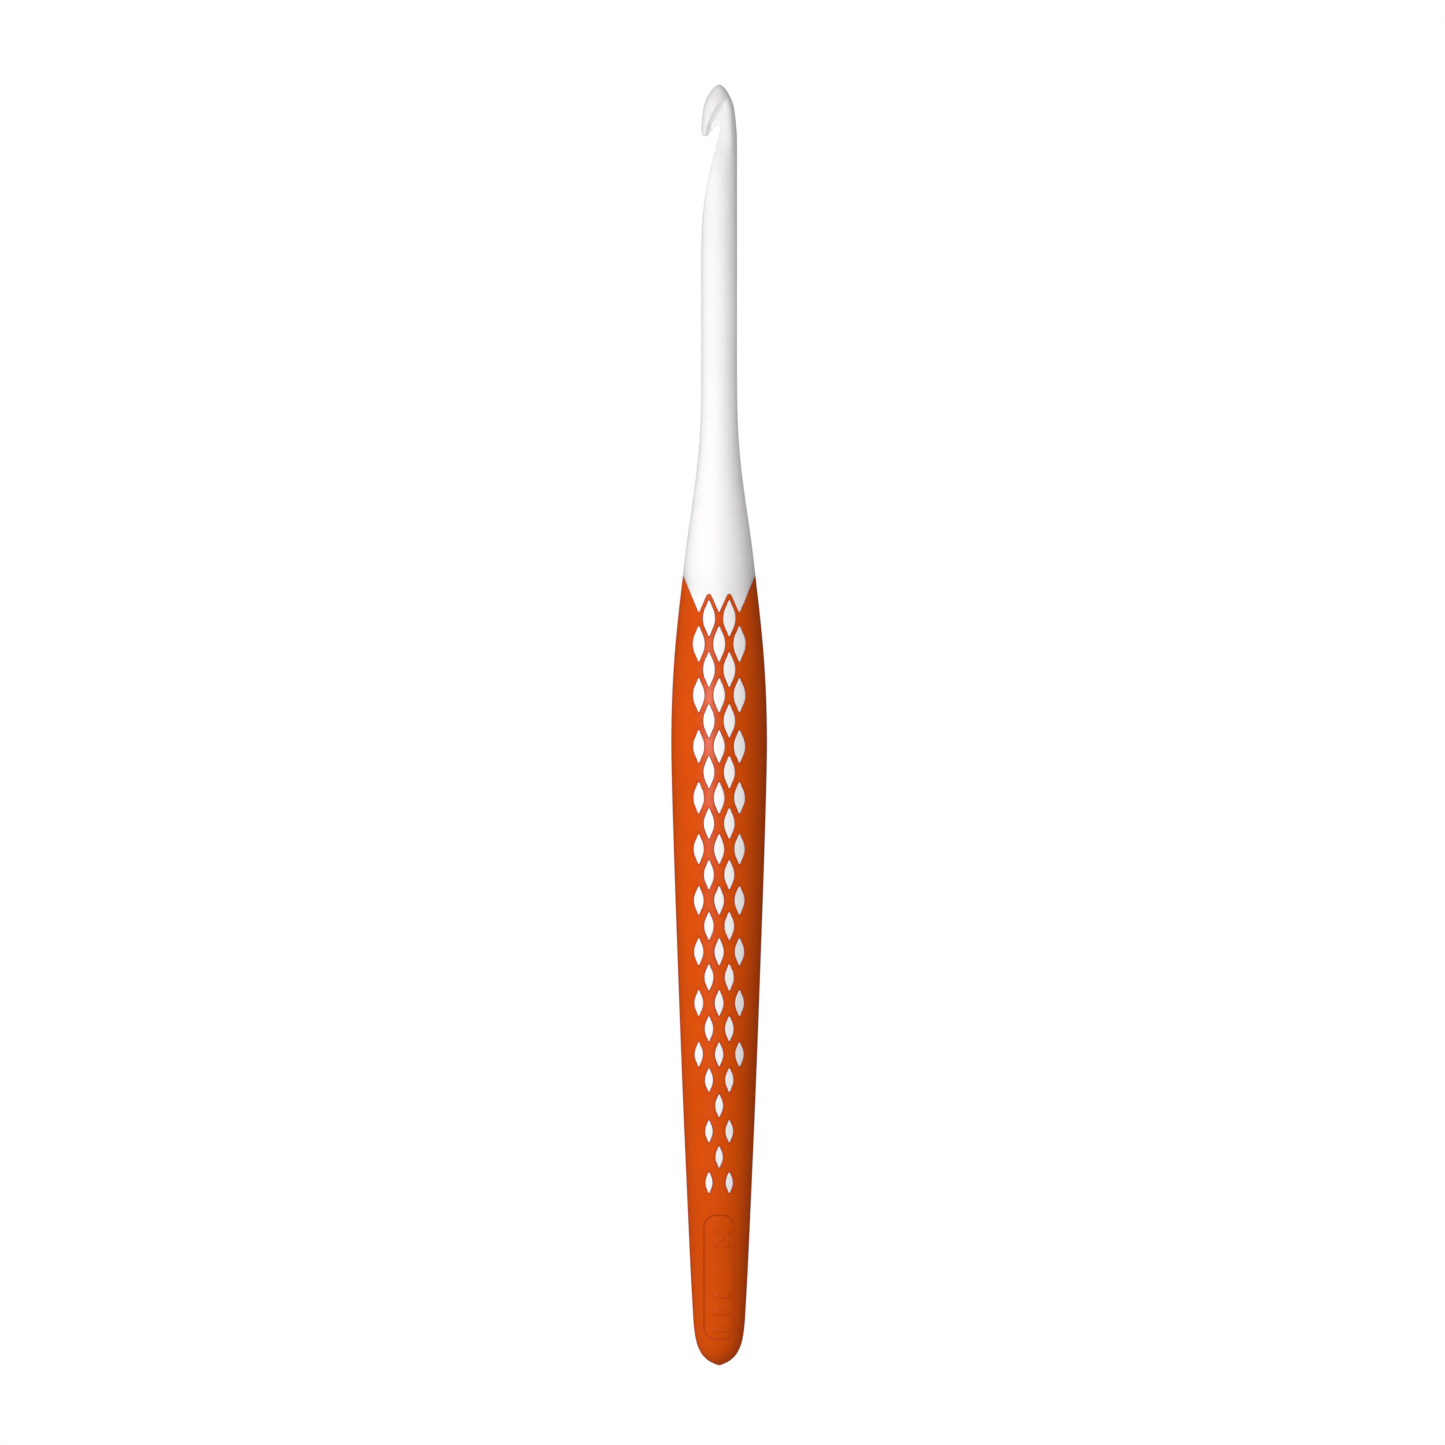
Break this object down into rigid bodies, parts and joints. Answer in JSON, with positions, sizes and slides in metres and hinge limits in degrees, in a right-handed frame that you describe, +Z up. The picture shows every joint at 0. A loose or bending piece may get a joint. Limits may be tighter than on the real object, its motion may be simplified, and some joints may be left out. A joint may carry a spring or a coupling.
{
  "type": "crochet hook",
  "caption": "Inline crochet hook with a round plastic shaft, tapered throat and a spindle-shaped soft-grip handle with a lattice of flush windows.",
  "frame": {"origin": "on the surface the hook lies on, under the middle of its length", "axes": "+X along the axis towards the tip, +Z up out of the face with the size panel, +Y towards the side the throat opens to"},
  "size_m": [0.1792, 0.0134, 0.0135],
  "materials": {
    "white_plastic": "satin white moulded plastic",
    "soft_grip": "satin orange soft-touch elastomer, fine moulded texture"
  },
  "bodies": {
    "root": {"hook_head": "white_plastic", "hook_core": "white_plastic", "soft_grip": "soft_grip"}
  },
  "joints": []
}
